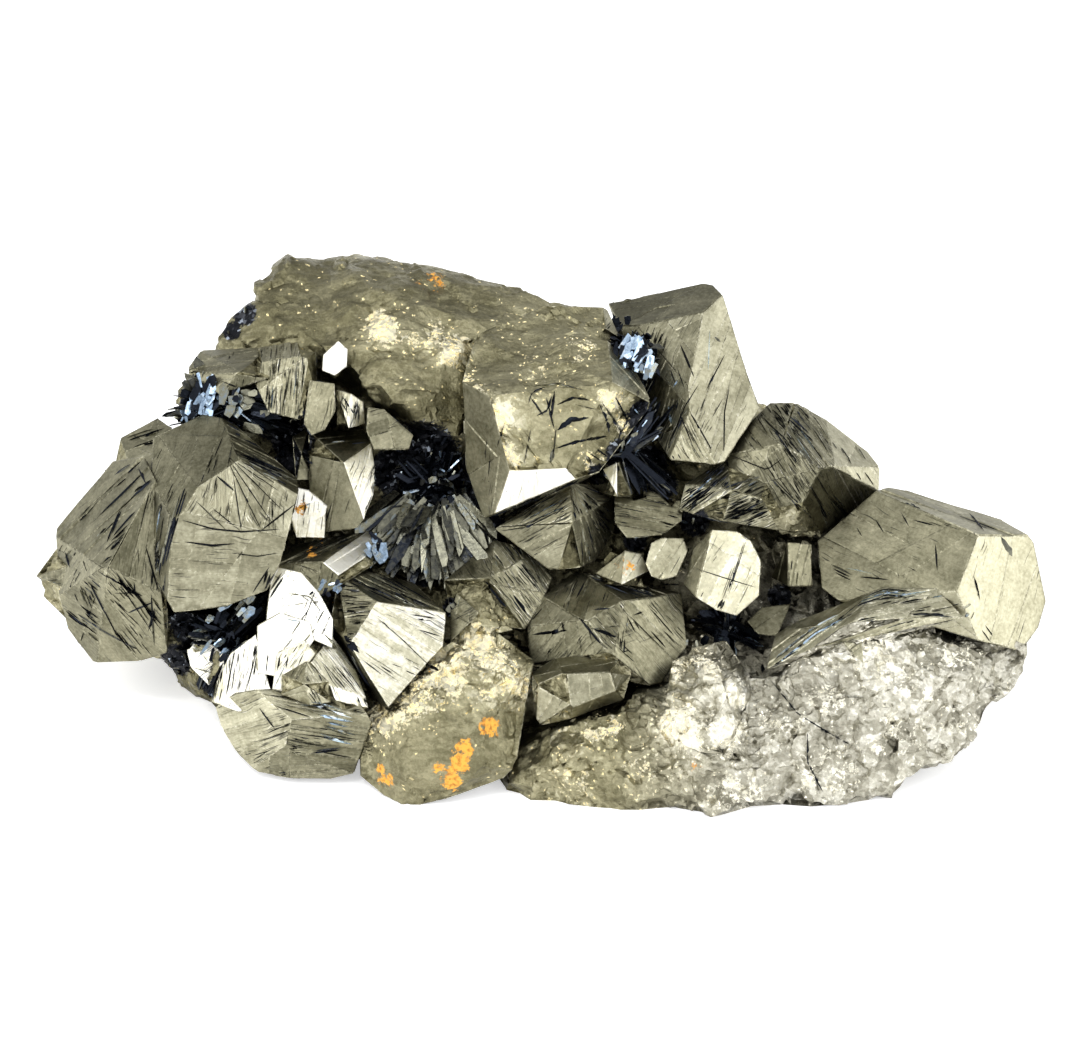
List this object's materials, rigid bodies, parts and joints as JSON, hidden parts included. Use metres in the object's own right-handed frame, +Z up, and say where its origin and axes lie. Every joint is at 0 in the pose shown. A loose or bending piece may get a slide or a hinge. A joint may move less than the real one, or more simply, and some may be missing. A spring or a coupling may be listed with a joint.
{
  "type": "pyrite and hematite specimen",
  "caption": "Display specimen of intergrown metallic pyrite crystals on broken massive pyrite, with black bladed hematite between them, cut flat underneath to rest on a shelf.",
  "frame": {"origin": "on the flat underside, below the middle of the specimen", "axes": "+X to the right along the specimen's length, +Y away from its good side, +Z up"},
  "size_m": [0.1112, 0.0603, 0.0395],
  "materials": {
    "pyrite": "brilliant metallic crystal faces, duller and sparkling where broken",
    "hematite": "black metallic blades with a blue-white glint"
  },
  "bodies": {
    "root": {"pyrite": "pyrite", "hematite_nest_upper_left": "hematite", "hematite_nest_lower_left": "hematite", "hematite_nest_centre": "hematite", "hematite_spray_right": "hematite", "hematite_nest_top": "hematite", "hematite_nest_low_right": "hematite"}
  },
  "joints": []
}
